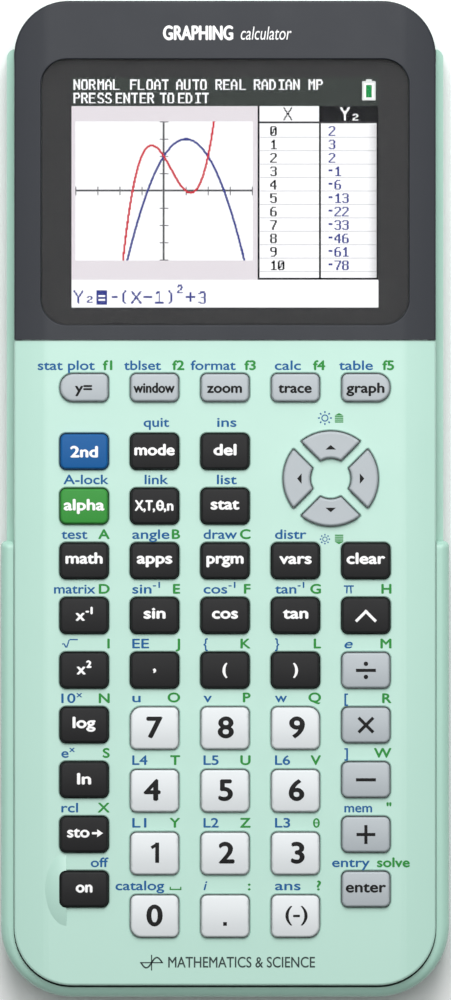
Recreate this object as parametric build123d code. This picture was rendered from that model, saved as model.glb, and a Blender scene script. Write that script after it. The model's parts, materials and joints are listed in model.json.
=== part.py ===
from build123d import *

import os
from math import cos, radians, sin, sqrt

# A hand-held graphing calculator in its slide-on case, lying on its back. Millimetres throughout.
# +X points to the right of the keypad, +Y to the display end, +Z out of the face. The origin is the
# middle of the footprint, on the surface that the case rests on. Each function makes one sub-part.

# ---- plan of the calculator and of its case
LENGTH = 190.0
TOP_END = LENGTH / 2                # display end of the calculator
CASE_END = -LENGTH / 2              # outside of the case's end wall
END_WALL = 1.85
END_GAP = 0.4                       # from the case's end wall to the calculator
SIDE_GAP = 0.12                     # from the case's sides to the calculator
BODY_END = CASE_END + END_WALL + END_GAP
BODY_HALF_WIDTH = 40.2
WING_HALF_WIDTH = 42.77             # tall sides of the case, beside the keypad
RAIL_HALF_WIDTH = 41.7              # low sides of the case, beside the display
WING_TOP_Y = -8.0
RAIL_TOP_Y = 86.0
FLOOR_HALF_WIDTH = 39.2             # the case's floor beyond the rails, hidden under the calculator
CASE_TOP_Y = 93.2
CORNER_TOP = 10.3
CORNER_BOTTOM = 11.0
CORNER_CASE = 13.7
CORNER_CASE_TOP = 9.0
CASE_FILLET = 2.4                   # round between the case's floor and its sides
CASE_RIM_FILLET = 1.5
WING_CORNER = 1.0                   # where a wing ends beside the keypad's upper rows
RAIL_CORNER = 1.8                   # where a rail ends beside the display
SEAM_Y = 30.2                       # lower edge of the display bezel
SEAM_GAP = 0.2

# ---- levels above the surface that the case rests on
FLOOR_TOP = 1.6                     # inside of the case's floor
REAR_LOW = 1.9                      # back of the calculator
REAR_FLOOR = 3.5
GROOVE_LOW = 8.0                    # slot along each side, for the case's ribs
PARTING = 10.0                      # front housing meets rear housing, at the top of the slot
FACE_Z = 16.2                       # flat middle of the keypad face
BEZEL_Z = 16.55                     # flat middle of the bezel
SEAT_Z = 14.6                       # shelf that carries the bezel and the window
SKIRT_Z = 12.2                      # lower edge of the bezel's sides
WALL = 1.6
REAR_WALL = 2.8
REAR_FILLET = 1.4
BAY_WALL = 1.2
HOUSING_GAP = 0.05                  # between the front and rear housings where they meet
GROOVE_DEPTH = 1.2
GROOVE_TOP_Y = 84.5
RIB_CLEARANCE = 0.2
RIB_LENGTH = 162.0                  # ribs of the case that run in the slots
WING_TOP_Z = 14.2
RAIL_TOP_Z = 9.8
BOARD_LOW = 8.6
BOARD_HIGH = 9.8

# ---- section of the face: flat in the middle, a crease, then a flank that falls to the side
FLAT_HALF_WIDTH = 33.6
CREASE_RADIUS = 10.0
CREASE_ANGLE = 6.0
FLANK_RADIUS = 80.0
FLANK_ANGLE = 9.0
EDGE_FILLET = 0.45

# ---- keys
COLUMN_PITCH = 13.43
ROW_PITCH = 10.43
ROW_TOP_Y = 9.07                    # row of the "second" key
SOFT_ROW_Y = 21.25                  # the five keys under the display
DIGIT_TOP_Y = -43.68
DIGIT_PITCH = 11.95
KEY_SIZE = (9.0, 6.6)
SOFT_KEY_SIZE = (9.0, 5.15)
DIGIT_KEY_SIZE = (9.0, 7.9)
KEY_CORNER = 1.05
SOFT_CORNER_WIDE = 2.4
DIGIT_CORNER_WIDE = 2.0
KEY_GAP = 0.25                      # key to the edge of its hole
KEY_TOP_Z = 17.4
KEY_CROWN = 24.0                    # radius of a key's top, curved from its upper to its lower edge
KEY_FILLET = 0.4
KEY_WALL = 1.0
INNER_CORNER = 0.3                  # least corner radius of the hollow inside a key
FLANGE_OUT = 0.55
FLANGE_LOW = 13.6
FLANGE_HIGH = 14.45
STEM_RADIUS = 1.2
STEM_LOW = 12.4
HOLE_CHAMFER = 0.2
MEMBRANE_GAP = 0.1
MEMBRANE_THICKNESS = 0.7
DOME_HEIGHT = 1.6
DOME_FOOT = 2.2
DOME_TOP = 1.5
DOME_WALL = 0.5

# ---- ring of four arrow keys
PAD_CENTRE = (20.15, 3.9)
PAD_OUTER = 8.98
PAD_INNER = 4.0
PAD_STEM_AT = 6.4
PAD_CHANNEL = 1.1                   # half width of the diagonal channels between them
PAD_CORNER = 0.35

# ---- raised guard on the left of the "on" key, a slice of a barrel that lies along Y
GUARD_HEIGHT = 0.8
GUARD_HALF_WIDTH = 4.0
GUARD_HALF_LENGTH = 7.0
GUARD_EDGE_X = -30.25

# ---- display
WINDOW_CENTRE = (0.0, 58.55)
WINDOW_SIZE = (69.9, 50.4)
WINDOW_CORNER = 4.8
WINDOW_GAP = 0.15
WINDOW_LOW = 14.7
WINDOW_HIGH = 16.1
TRAY_SIZE = (61.5, 47.6)
TRAY_LOW = 11.4
TRAY_HIGH = 14.0
GLASS_SIZE = (60.9, 47.0)
GLASS_HIGH = 14.4
TRAY_WALL = 0.8
TRAY_FLOOR = 0.6
TRAY_CLEARANCE = 0.15               # tray to the opening in the front housing
BEZEL_LIP = 0.25                    # round of the bezel's edge along the lens
LENS_CHAMFER = 0.15

# ---- inside and back
SCREWS = [(x, y) for y in (85.5, 26.5, -84.0) for x in (-33.6, 33.6)]
SCREW_RADIUS = 0.9
SCREW_HEAD_RADIUS = 1.9
SCREW_HEAD_LOW = 2.5
SCREW_HEAD_HIGH = 4.0
SCREW_TIP = 13.2
BOSS_RADIUS = 3.0
BATTERY_CENTRE = (0.0, -30.0)
BATTERY_SIZE = (42.5, 57.5)
BATTERY_LOW = 3.7
BATTERY_HIGH = 7.2
BAY_SIZE = (46.0, 61.0)
BAY_ROOF = 7.4
BAY_HIGH = 8.2
COVER_CENTRE = (0.0, -33.0)
COVER_SIZE = (50.0, 73.0)
COVER_SCREW_AT = (0.0, -65.5)
RESET_AT = (24.0, 48.0)
USB_X = -18.0
USB_SIZE = (7.7, 9.2, 3.9)
USB_WALL = 0.35
RESET_HOLE_RADIUS = 0.8

# ---- parts on the board: size across and along, height, and place
CHIPS_ABOVE = [
    ((14, 14), 1.2, (-6, 68)),
    ((9, 13), 1.0, (12, 68)),
    ((6, 6), 0.9, (-20, 50)),
    ((24, 3.2), 1.2, (0, 43)),
]
CHIPS_BELOW = [
    ((8, 4.5), 3.0, (-12, 9)),
    ((5, 5), 1.8, (10, 30)),
]
CAPACITORS_AT = [(-28, 40), (-28, 47)]
CAPACITOR_RADIUS = 2.5
CAPACITOR_HEIGHT = 4.4

# ---- where each key sits, row by row
SOFT_KEYS = ["y_equals", "window", "zoom", "trace", "graph"]
MAIN_KEYS = [
    ["second", "mode", "delete", None, None],
    ["alpha", "variable", "stat", None, None],
    ["math", "apps", "program", "vars", "clear"],
    ["inverse", "sine", "cosine", "tangent", "power"],
    ["square", "comma", "bracket_open", "bracket_close", "divide"],
    ["log", None, None, None, "multiply"],
    ["natural_log", None, None, None, "subtract"],
    ["store", None, None, None, "add"],
    ["on", None, None, None, "enter"],
]
DIGIT_KEYS = [["7", "8", "9"], ["4", "5", "6"], ["1", "2", "3"], ["0", "point", "negative"]]
ARROWS = {"right": 0, "up": 90, "left": 180, "down": 270}


# ================================================================ shared shapes
def prism(sketch, low, high):
    """A plan, as a solid between two levels."""
    return extrude(Pos(0, 0, low) * sketch, high - low)


def slab(size, low, high, centre=(0, 0)):
    """A plain block between two levels."""
    return Pos(centre[0], centre[1], (low + high) / 2) * Box(size[0], size[1], high - low)


def rod(radius, low, high, centre=(0, 0)):
    """An upright cylinder between two levels."""
    return Pos(centre[0], centre[1], (low + high) / 2) * Cylinder(radius, high - low)


def rounded(size, radius, centre=(0, 0)):
    """A rectangle with one corner radius."""
    return Pos(*centre) * RectangleRounded(size[0], size[1], radius)


def long_plan(half_width, y_low, y_high, radius_low=0.0, radius_high=0.0):
    """A rectangle along Y whose lower and upper corners have their own radii."""
    plan = Pos(0, (y_low + y_high) / 2) * Rectangle(2 * half_width, y_high - y_low)
    if radius_low:
        plan = fillet(plan.vertices().group_by(Axis.Y)[0], radius_low)
    if radius_high:
        plan = fillet(plan.vertices().group_by(Axis.Y)[-1], radius_high)
    return plan


def body_plan(inset=0.0):
    """The calculator's plan, drawn in evenly by an inset."""
    return long_plan(
        BODY_HALF_WIDTH - inset, BODY_END + inset, TOP_END - inset, CORNER_BOTTOM - inset, CORNER_TOP - inset
    )


def beyond(y, low, high):
    """A block that holds everything on the display side of a line across the calculator."""
    return slab((2 * LENGTH, LENGTH), low, high, (0, y + LENGTH / 2))


def under_face(top):
    """Everything under a face like the keypad's, with its flat middle at the level given."""
    crease = JernArc((FLAT_HALF_WIDTH, top), (1, 0), CREASE_RADIUS, -CREASE_ANGLE)
    flank = JernArc(crease @ 1, crease % 1, FLANK_RADIUS, -FLANK_ANGLE)
    foot = flank @ 1
    rest = Polyline(foot, (foot.X, 0), (0, 0), (0, top), (FLAT_HALF_WIDTH, top))
    half = extrude(Plane.XZ * make_face([crease, flank, rest]), LENGTH, both=True)
    return half + mirror(half, Plane.YZ)


def rim_edges(solid, level):
    """The edges, all above a level, where upright sides meet the top."""
    upright = [face for face in solid.faces() if abs(face.normal_at().Z) < 0.01]
    edges = [edge for face in upright for edge in face.edges()]
    return [edge for edge in edges if edge.center().Z > level and abs(edge.tangent_at(0.5).Z) < 0.5]


def soft_topped(plan, low, top):
    """A plan raised to a crowned face, with its upper rim rounded."""
    solid = prism(plan, low, top + 2) & under_face(top)
    return solid.fillet(EDGE_FILLET, rim_edges(solid, SEAT_Z))


# ================================================================ keys
def key_plan(size, wide_corner=None, wide_radius=0.0, grow=0.0):
    """A key's plan about its own middle, with at most some corners rounder than the others."""
    half_width = size[0] / 2 + grow
    half_length = size[1] / 2 + grow
    plan = Rectangle(2 * half_width, 2 * half_length)
    wide = [v for v in plan.vertices() if wide_corner and wide_corner(v)]
    if wide:
        plan = fillet(wide, wide_radius + grow)
    sharp = [v for v in plan.vertices() if abs(v.X) + abs(v.Y) > half_width + half_length - 0.01]
    return fillet(sharp, max(KEY_CORNER + grow, INNER_CORNER))


def arrow_plan(angle, grow=0.0):
    """One sector of the arrow ring about the ring's middle, between two diagonal channels."""
    apex = (PAD_CHANNEL - grow) * sqrt(2)
    reach = 2 * PAD_OUTER
    wedge = make_face(Polyline((apex, 0), (apex + reach, reach), (apex + reach, -reach), (apex, 0)))
    ring = Circle(PAD_OUTER + grow) - Circle(PAD_INNER - grow)
    sector = fillet((wedge & ring).vertices(), PAD_CORNER)
    return Rot(0, 0, angle) * sector


def key_table():
    """Each key's name, with its centre, its plan as a function of growth, and where its stem stands."""
    keys = {}

    def add(name, x, y, plan, stem=(0, 0)):
        keys["key_" + name] = ((x, y), plan, stem)

    def plain(size, wide_corner=None, wide_radius=0.0):
        return lambda grow=0.0: key_plan(size, wide_corner, wide_radius, grow)

    for column, name in enumerate(SOFT_KEYS):
        side = {0: lambda v: v.X < 0, 4: lambda v: v.X > 0}.get(column)
        add(name, (column - 2) * COLUMN_PITCH, SOFT_ROW_Y, plain(SOFT_KEY_SIZE, side, SOFT_CORNER_WIDE))
    for row, names in enumerate(MAIN_KEYS):
        for column, name in enumerate(names):
            if name:
                add(name, (column - 2) * COLUMN_PITCH, ROW_TOP_Y - row * ROW_PITCH, plain(KEY_SIZE))
    outer_corners = {
        "7": lambda v: v.X < 0 < v.Y,
        "9": lambda v: v.X > 0 and v.Y > 0,
        "0": lambda v: v.X < 0 and v.Y < 0,
        "negative": lambda v: v.Y < 0 < v.X,
    }
    for row, names in enumerate(DIGIT_KEYS):
        for column, name in enumerate(names):
            plan = plain(DIGIT_KEY_SIZE, outer_corners.get(name), DIGIT_CORNER_WIDE)
            add(name, (column - 1) * COLUMN_PITCH, DIGIT_TOP_Y - row * DIGIT_PITCH, plan)
    for name, angle in ARROWS.items():
        stem = (PAD_STEM_AT * cos(radians(angle)), PAD_STEM_AT * sin(radians(angle)))
        add(name, *PAD_CENTRE, lambda grow=0.0, angle=angle: arrow_plan(angle, grow), stem)
    return keys


def key(centre, plan, stem):
    """A hollow cap with a slightly curved top, a flange that holds it in, and a stem on the dome below."""
    crowned = Pos(0, 0, KEY_TOP_Z - KEY_CROWN) * Rot(0, 90, 0) * Cylinder(KEY_CROWN, 4 * PAD_OUTER)
    cap = prism(plan(), FLANGE_LOW, KEY_TOP_Z + 1)
    if stem == (0, 0):
        cap &= crowned
    else:
        cap -= slab((60, 60), KEY_TOP_Z, KEY_TOP_Z + 2)
    cap = cap.fillet(KEY_FILLET, rim_edges(cap, FACE_Z))
    cap += prism(plan(FLANGE_OUT), FLANGE_LOW, FLANGE_HIGH)
    cap -= prism(plan(-KEY_WALL), FLANGE_LOW - 1, KEY_TOP_Z - 2 * KEY_WALL)
    cap += rod(STEM_RADIUS, STEM_LOW, KEY_TOP_Z - KEY_WALL, stem)
    return Pos(centre[0], centre[1], 0) * cap


# ================================================================ shells
def guard():
    """The ridge that shields the "on" key from being pressed by accident."""
    centre_y = ROW_TOP_Y - 8 * ROW_PITCH
    girth = (GUARD_HALF_WIDTH**2 + GUARD_HEIGHT**2) / (2 * GUARD_HEIGHT)
    bow = (GUARD_HALF_LENGTH**2 + GUARD_HEIGHT**2) / (2 * GUARD_HEIGHT)
    axis_z = FACE_Z + GUARD_HEIGHT - girth
    low = girth - GUARD_HEIGHT
    arc = ThreePointArc((low, -GUARD_HALF_LENGTH), (girth, 0), (low, GUARD_HALF_LENGTH))
    rest = Polyline((low, GUARD_HALF_LENGTH), (0, GUARD_HALF_LENGTH), (0, -GUARD_HALF_LENGTH), arc @ 0)
    barrel = revolve(make_face([arc, rest]), Axis.Y)
    barrel = Pos(GUARD_EDGE_X, centre_y, axis_z) * barrel
    return barrel & slab((20, 20), FACE_Z - 0.5, FACE_Z + 2, (GUARD_EDGE_X - 10, centre_y))


def key_holes(keys):
    """The holes that the keys rise through, each with a small bevel at the face."""
    holes = []
    for centre, plan, _ in keys.values():
        opening = plan(KEY_GAP)
        bevel = extrude(Pos(0, 0, FACE_Z - HOLE_CHAMFER) * opening, 2 * HOLE_CHAMFER, taper=-45)
        holes += [Pos(*centre, 0) * prism(opening, PARTING, FACE_Z + 3), Pos(*centre, 0) * bevel]
    return holes


def front_housing(keys):
    """Shell of the keypad, with a sunken shelf for the bezel and bosses for the screws."""
    display_end = beyond(SEAM_Y - WALL, 0, LENGTH)
    shell = soft_topped(body_plan(), PARTING, FACE_Z)
    shell -= (prism(body_plan(WALL), 0, FACE_Z) & under_face(FACE_Z - WALL)) - display_end
    shell -= prism(body_plan(2 * WALL), 0, SEAT_Z - WALL) & display_end
    shell += [rod(BOSS_RADIUS, PARTING, SEAT_Z + 0.4, place) for place in SCREWS]
    shell -= beyond(SEAM_Y, SEAT_Z, LENGTH)
    shell -= beyond(SEAM_Y, SKIRT_Z, LENGTH) - prism(body_plan(WALL), 0, LENGTH)
    shell += guard()
    shell -= slab([side + 2 * TRAY_CLEARANCE for side in TRAY_SIZE], 0, LENGTH, WINDOW_CENTRE)
    shell -= [rod(SCREW_RADIUS + 0.05, 0, SCREW_TIP + 0.4, place) for place in SCREWS]
    return shell - key_holes(keys)


def display_bezel():
    """Moulding round the display, with sides that wrap down over the front housing."""
    cap = soft_topped(body_plan(), SKIRT_Z, BEZEL_Z)
    cap &= beyond(SEAM_Y + SEAM_GAP, 0, LENGTH)
    cap -= prism(body_plan(WALL - SEAM_GAP), 0, SEAT_Z)
    window = rounded(
        [side + 2 * WINDOW_GAP for side in WINDOW_SIZE], WINDOW_CORNER + WINDOW_GAP, WINDOW_CENTRE
    )
    cap -= prism(window, 0, LENGTH)
    lip = cap.edges().filter_by(lambda edge: edge.center().Z > BEZEL_Z - 0.01 and abs(edge.center().X) < 36)
    lip = lip.filter_by(lambda edge: SEAM_Y + 1 < edge.center().Y < 90)
    return cap.fillet(BEZEL_LIP, lip)


def display_window():
    """Clear lens, slightly below the bezel."""
    lens = prism(rounded(WINDOW_SIZE, WINDOW_CORNER, WINDOW_CENTRE), WINDOW_LOW, WINDOW_HIGH)
    return chamfer(lens.edges().group_by(Axis.Z)[-1], LENS_CHAMFER)


def lcd_module():
    """Display panel: an open tray with the lit sheet in it and the glass on top."""
    tray = slab(TRAY_SIZE, TRAY_LOW, TRAY_HIGH, WINDOW_CENTRE)
    inside = [side - 2 * TRAY_WALL for side in TRAY_SIZE]
    tray -= slab(inside, TRAY_LOW + TRAY_FLOOR, TRAY_HIGH, WINDOW_CENTRE)
    sheet_size = [side - 0.2 for side in inside]
    sheet = slab(sheet_size, TRAY_LOW + TRAY_FLOOR + 0.1, TRAY_HIGH - 0.1, WINDOW_CENTRE)
    glass = slab(GLASS_SIZE, TRAY_HIGH + 0.02, GLASS_HIGH, WINDOW_CENTRE)
    return Compound([tray.solid(), sheet, glass])


def key_membrane(keys):
    """Rubber sheet with a hollow dome under each key."""
    low = BOARD_HIGH + MEMBRANE_GAP
    top = low + MEMBRANE_THICKNESS
    sheet = prism(long_plan(30.2, -83.4, 25.0, 3.0, 3.0), low, top)
    domes = []
    pits = []
    for centre, _, stem in keys.values():
        x, y = centre[0] + stem[0], centre[1] + stem[1]
        domes.append(Pos(x, y, top + DOME_HEIGHT / 2) * Cone(DOME_FOOT, DOME_TOP, DOME_HEIGHT))
        domes.append(rod(DOME_TOP, top + DOME_HEIGHT - 0.1, STEM_LOW - 0.1, (x, y)))
        pits.append(Pos(x, y, top) * Cone(DOME_FOOT - DOME_WALL, DOME_TOP - 0.3, 2 * MEMBRANE_THICKNESS))
    return sheet + domes - pits


def circuit_board():
    """Board with its chips, the sockets and the reset switch, each a solid of its own."""
    board = prism(long_plan(36.8, BODY_END + 3.4, TOP_END - 3.4, 8.0, 7.4), BOARD_LOW, BOARD_HIGH)
    board -= [rod(BOSS_RADIUS + 0.4, 0, LENGTH, place) for place in SCREWS]
    above = [slab(size, BOARD_HIGH, BOARD_HIGH + height, place) for size, height, place in CHIPS_ABOVE]
    below = [slab(size, BOARD_LOW - height, BOARD_LOW, place) for size, height, place in CHIPS_BELOW]
    below += [rod(CAPACITOR_RADIUS, BOARD_LOW - CAPACITOR_HEIGHT, BOARD_LOW, at) for at in CAPACITORS_AT]
    switch = slab((5, 5), BOARD_LOW - 2.6, BOARD_LOW, RESET_AT)
    switch += rod(1.1, BOARD_LOW - 3.6, BOARD_LOW, RESET_AT)
    return Compound([solid_of(piece) for piece in [board] + above + below + [switch, usb_socket()]])


def solid_of(piece):
    """The single solid inside a shape."""
    return piece.solid()


def usb_plan(grow=0.0):
    """Mouth of the socket, seen from the display end: a wide top and a narrower foot."""
    half = USB_SIZE[0] / 2 + grow
    low = -USB_SIZE[2] / 2 - grow
    high = USB_SIZE[2] / 2 + grow
    points = [(-half, high), (half, high), (half, high - 1.9), (half - 0.8, low), (0.8 - half, low)]
    return make_face(Polyline(*points, (-half, high - 1.9), close=True))


def along_y(plan, y_low, y_high, x, z):
    """A plan drawn on XZ, as a solid between two stations along Y."""
    return extrude(Plane((x, y_high, z), x_dir=(1, 0, 0), z_dir=(0, -1, 0)) * plan, y_high - y_low)


def usb_socket():
    """Metal shell with a tongue inside, on the underside of the board, open at the display end."""
    z = BOARD_LOW - USB_SIZE[2] / 2
    mouth = TOP_END - 1.4
    shell = along_y(usb_plan(), mouth - USB_SIZE[1], mouth, USB_X, z)
    shell -= along_y(usb_plan(-USB_WALL), mouth - USB_SIZE[1] + 0.8, mouth + 1, USB_X, z)
    tongue = slab((4.6, USB_SIZE[1] - 1.4), z - 0.3, z + 0.5, (USB_X, mouth - USB_SIZE[1] / 2 - 0.3))
    return shell + tongue


def rear_housing():
    """Back shell with the battery bay, the slots in its sides and six screws."""
    top = PARTING - HOUSING_GAP
    shell = prism(body_plan(), REAR_LOW, top)
    shell = shell.fillet(REAR_FILLET, shell.edges().group_by(Axis.Z)[0])
    shell -= prism(body_plan(REAR_WALL), REAR_FLOOR, LENGTH)
    for side in (-1, 1):
        x = side * (BODY_HALF_WIDTH - GROOVE_DEPTH + 5)
        shell -= slab((10, LENGTH), GROOVE_LOW, LENGTH, (x, GROOVE_TOP_Y - LENGTH / 2))
    shell += slab([side + 3.0 for side in COVER_SIZE], REAR_LOW, REAR_FLOOR + 1.2, COVER_CENTRE)
    shell += slab([side + 2 * BAY_WALL for side in BAY_SIZE], REAR_FLOOR, BAY_HIGH, BATTERY_CENTRE)
    shell += rod(BOSS_RADIUS, REAR_FLOOR, BAY_HIGH, COVER_SCREW_AT)
    shell -= slab([side + 0.3 for side in COVER_SIZE], 0, REAR_FLOOR, COVER_CENTRE)
    shell -= slab(BAY_SIZE, 0, BAY_ROOF, BATTERY_CENTRE)
    shell -= rod(SCREW_RADIUS + 0.05, 0, 6.6, COVER_SCREW_AT)
    shell += [rod(BOSS_RADIUS, REAR_FLOOR, top, place) for place in SCREWS]
    shell -= [rod(SCREW_RADIUS + 0.25, 0, LENGTH, place) for place in SCREWS]
    shell -= [rod(SCREW_HEAD_RADIUS + 0.3, 0, SCREW_HEAD_HIGH + 0.02, place) for place in SCREWS]
    shell -= rod(RESET_HOLE_RADIUS, 0, REAR_FLOOR + 1, RESET_AT)
    shell -= along_y(usb_plan(0.15), TOP_END - 9, TOP_END + 1, USB_X, BOARD_LOW - USB_SIZE[2] / 2)
    screws = [screw(place, SCREW_HEAD_LOW, SCREW_HEAD_HIGH, SCREW_TIP) for place in SCREWS]
    return Compound([solid_of(shell)] + screws)


def screw(place, head_low, head_high, tip):
    """A cross-headed screw, head down."""
    body = rod(SCREW_HEAD_RADIUS, head_low, head_high, place) + rod(SCREW_RADIUS, head_high, tip, place)
    body -= slab((2.4, 0.5), head_low, head_low + 0.7, place)
    body -= slab((0.5, 2.4), head_low, head_low + 0.7, place)
    return solid_of(body)


def battery_pack():
    """Flat rechargeable pack in its bay."""
    pack = prism(rounded(BATTERY_SIZE, 2.0, BATTERY_CENTRE), BATTERY_LOW, BATTERY_HIGH)
    return pack.fillet(0.5, pack.edges().group_by(Axis.Z)[-1])


def battery_cover():
    """Flush plate over the bay, with a counterbored screw."""
    plate = prism(rounded(COVER_SIZE, 1.2, COVER_CENTRE), REAR_LOW, REAR_FLOOR - 0.1)
    plate = chamfer(plate.edges().group_by(Axis.Z)[0], 0.3)
    plate -= rod(SCREW_RADIUS + 0.2, 0, LENGTH, COVER_SCREW_AT)
    plate -= rod(SCREW_HEAD_RADIUS + 0.2, 0, REAR_LOW + 0.9, COVER_SCREW_AT)
    return Compound([solid_of(plate), screw(COVER_SCREW_AT, REAR_LOW + 0.1, REAR_LOW + 0.88, 6.2)])


def round_floor(solid, y_low, y_high):
    """Round the lower edges of a solid whose middles lie between two lines across the case."""
    lowest = solid.edges().group_by(Axis.Z)[0]
    return solid.fillet(CASE_FILLET, [edge for edge in lowest if y_low < edge.center().Y < y_high])


def slide_case():
    """Tray with tall wings round the keypad end, low rails beside the display, and ribs in the slots."""
    splice_y = WING_TOP_Y - 50
    wings = prism(long_plan(WING_HALF_WIDTH, CASE_END, WING_TOP_Y, CORNER_CASE), 0, WING_TOP_Z)
    rails = prism(long_plan(RAIL_HALF_WIDTH, splice_y, CASE_TOP_Y), 0, RAIL_TOP_Z)
    case = round_floor(wings, CASE_END - 1, WING_TOP_Y - 1)
    case += round_floor(rails, splice_y + 1, CASE_TOP_Y + 1)
    outline = long_plan(WING_HALF_WIDTH, CASE_END, WING_TOP_Y, CORNER_CASE, WING_CORNER)
    outline += long_plan(RAIL_HALF_WIDTH, splice_y, RAIL_TOP_Y, 0, RAIL_CORNER)
    outline += long_plan(FLOOR_HALF_WIDTH, splice_y, CASE_TOP_Y, 0, CORNER_CASE_TOP)
    case &= prism(outline, 0, WING_TOP_Z)
    half_pocket = BODY_HALF_WIDTH + SIDE_GAP
    pocket = long_plan(half_pocket, BODY_END - END_GAP, TOP_END + 20, CORNER_BOTTOM + SIDE_GAP)
    case -= prism(pocket, FLOOR_TOP, LENGTH)
    rib_reach = BODY_HALF_WIDTH - GROOVE_DEPTH + RIB_CLEARANCE
    for side in (-1, 1):
        x = side * (rib_reach + half_pocket + 0.5) / 2
        width = half_pocket + 0.5 - rib_reach
        middle = GROOVE_TOP_Y - 1 - RIB_LENGTH / 2
        case += slab((width, RIB_LENGTH), GROOVE_LOW + RIB_CLEARANCE, RAIL_TOP_Z, (x, middle))
    rim = [edge for edge in rim_edges(case, WING_TOP_Z - 0.1) if outside_pocket(edge, half_pocket)]
    return case.fillet(CASE_RIM_FILLET, rim)


def outside_pocket(edge, half_pocket):
    """Whether an edge of the case lies on its outer side."""
    middle = edge @ 0.5
    return abs(middle.X) > half_pocket + 1 or middle.Y < CASE_END + 0.5


def write_parts():
    """Export every sub-part to its own file."""
    keys = key_table()
    pieces = {
        "front_housing": front_housing(keys),
        "display_bezel": display_bezel(),
        "display_window": display_window(),
        "lcd_module": lcd_module(),
        "key_membrane": key_membrane(keys),
        "circuit_board": circuit_board(),
        "rear_housing": rear_housing(),
        "battery_pack": battery_pack(),
        "battery_cover": battery_cover(),
        "slide_case": slide_case(),
    }
    pieces.update({name: key(*place) for name, place in keys.items()})
    os.makedirs("parts", exist_ok=True)
    for name, piece in pieces.items():
        export_step(piece, f"parts/{name}.step")


write_parts()
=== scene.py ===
# %% [markdown]
# # A graphing calculator in its slide case
#
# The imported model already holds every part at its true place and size: two housings, the bezel, the
# lens, fifty keys, the case. This lesson gives them their finishes, adds what is printed or shown on
# them, and puts the whole on a pale table. Lengths are metres; numbers written for this object are
# millimetres times MM.

import json

import bmesh
import bpy
import numpy as np
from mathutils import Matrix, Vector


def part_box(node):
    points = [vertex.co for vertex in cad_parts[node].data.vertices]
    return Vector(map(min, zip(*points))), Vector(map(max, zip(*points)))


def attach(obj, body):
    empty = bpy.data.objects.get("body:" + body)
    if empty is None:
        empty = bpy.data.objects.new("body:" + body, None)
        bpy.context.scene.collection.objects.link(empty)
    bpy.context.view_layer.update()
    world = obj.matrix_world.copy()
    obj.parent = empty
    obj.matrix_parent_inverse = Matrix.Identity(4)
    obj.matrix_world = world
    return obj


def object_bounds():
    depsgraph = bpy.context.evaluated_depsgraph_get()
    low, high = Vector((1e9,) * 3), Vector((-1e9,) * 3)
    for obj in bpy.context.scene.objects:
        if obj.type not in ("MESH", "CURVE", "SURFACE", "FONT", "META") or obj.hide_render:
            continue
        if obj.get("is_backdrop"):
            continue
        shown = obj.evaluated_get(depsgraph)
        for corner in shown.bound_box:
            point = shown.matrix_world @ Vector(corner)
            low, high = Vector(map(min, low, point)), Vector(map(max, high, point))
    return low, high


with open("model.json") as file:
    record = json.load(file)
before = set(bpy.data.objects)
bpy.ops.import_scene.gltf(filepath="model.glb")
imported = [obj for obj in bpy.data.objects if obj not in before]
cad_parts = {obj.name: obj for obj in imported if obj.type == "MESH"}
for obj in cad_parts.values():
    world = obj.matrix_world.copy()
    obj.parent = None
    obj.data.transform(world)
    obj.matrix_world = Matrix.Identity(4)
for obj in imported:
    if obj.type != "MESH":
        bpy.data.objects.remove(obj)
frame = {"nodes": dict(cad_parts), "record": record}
MM = 0.001
cad_low, cad_high = (np.array(corner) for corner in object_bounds())
print("CAD box in mm:", (cad_low / MM).round(2), (cad_high / MM).round(2))

# %% [markdown]
# Places are read from the parts themselves. A key's box includes the hidden flange that holds it in,
# so the part that shows is the box drawn in by the flange. The flat middle of the keypad face is the
# level that labels are printed on.

# %% Measure the parts
FLANGE = 0.55 * MM
KEY_CROWN = 24.0 * MM               # radius of a key's curved top
KEY_PROUD = 1.2 * MM                # from the face to the top of a key
COLUMN_PITCH = 13.43 * MM


def box(node):
    """The lowest and highest corner of a part, as arrays."""
    low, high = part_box(node)
    return np.array(low), np.array(high)


def cap(node):
    """The centre, half size and top level of the part of a key that shows."""
    low, high = box(node)
    return (low + high)[:2] / 2, (high - low)[:2] / 2 - FLANGE, high[2]


key_nodes = [name for name in frame["nodes"] if name.startswith("key_") and name != "key_membrane"]
lens_low, lens_high = box("display_window")
panel_top = box("lcd_module")[1][2]
FACE_Z = box("key_enter")[1][2] - KEY_PROUD
BEZEL_Z = box("display_bezel")[1][2]
print(len(key_nodes), "keys; face and bezel at", round(FACE_Z / MM, 2), round(BEZEL_Z / MM, 2), "mm")

# %% [markdown]
# A finish is a small graph of shader nodes. Written as plain Python it stays short: `Value` wraps one
# socket, so that `across * along` or `0.2 * noise` adds the Math node that it means, and `Finish.add`
# puts in any other node by its type, its settings and its inputs.

# %% A few lines of shader arithmetic
class Value:
    """One output socket; arithmetic on it adds Math nodes to its material."""

    def __init__(self, finish, socket):
        self.finish = finish
        self.socket = socket

    def math(self, operation, first, second):
        """The output of one Math node."""
        return self.finish.add("Math", {"operation": operation}, {0: first, 1: second})

    def __add__(self, other):
        return self.math("ADD", self, other)

    def __radd__(self, other):
        return self.math("ADD", other, self)

    def __mul__(self, other):
        return self.math("MULTIPLY", self, other)

    def __rmul__(self, other):
        return self.math("MULTIPLY", other, self)


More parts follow.
